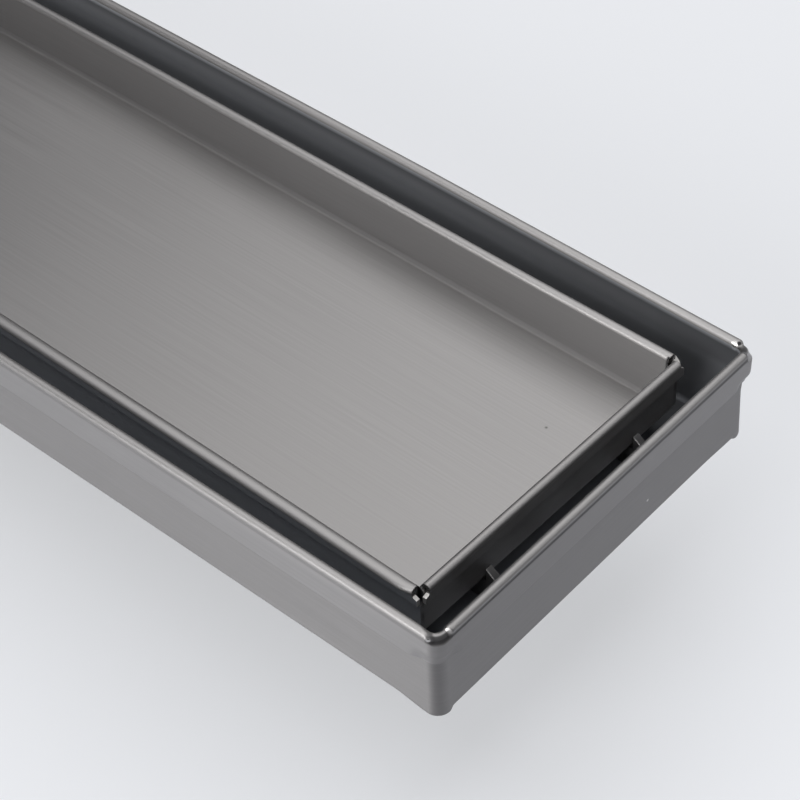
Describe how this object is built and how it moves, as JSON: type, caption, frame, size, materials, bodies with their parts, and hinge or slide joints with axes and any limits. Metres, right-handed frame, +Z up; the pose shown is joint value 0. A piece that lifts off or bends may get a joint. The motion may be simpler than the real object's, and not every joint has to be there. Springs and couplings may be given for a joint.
{
  "type": "linear shower drain",
  "caption": "Tile-insert linear shower drain: a long folded steel channel with a hemmed rim and a round bottom outlet, holding a loose hemmed tray for a cut tile.",
  "frame": {"origin": "centre of the outlet spigot's open lower end, which the drain stands on", "axes": "+X along the channel, +Y across it from front to back, +Z up out of the floor"},
  "size_m": [0.6, 0.1, 0.066],
  "materials": {
    "brushed_gunmetal": "brushed, gunmetal tone",
    "plain_stainless": "mill finish"
  },
  "bodies": {
    "root": {"channel_body": "brushed_gunmetal", "outlet_spigot": "brushed_gunmetal", "tile_insert_tray": "brushed_gunmetal", "end_leg_front_right": "brushed_gunmetal", "end_leg_back_right": "brushed_gunmetal", "end_leg_front_left": "brushed_gunmetal", "end_leg_back_left": "brushed_gunmetal", "middle_leg_front_right": "brushed_gunmetal", "middle_leg_back_right": "brushed_gunmetal", "middle_leg_front_left": "brushed_gunmetal", "middle_leg_back_left": "brushed_gunmetal", "hair_strainer": "plain_stainless"}
  },
  "joints": []
}
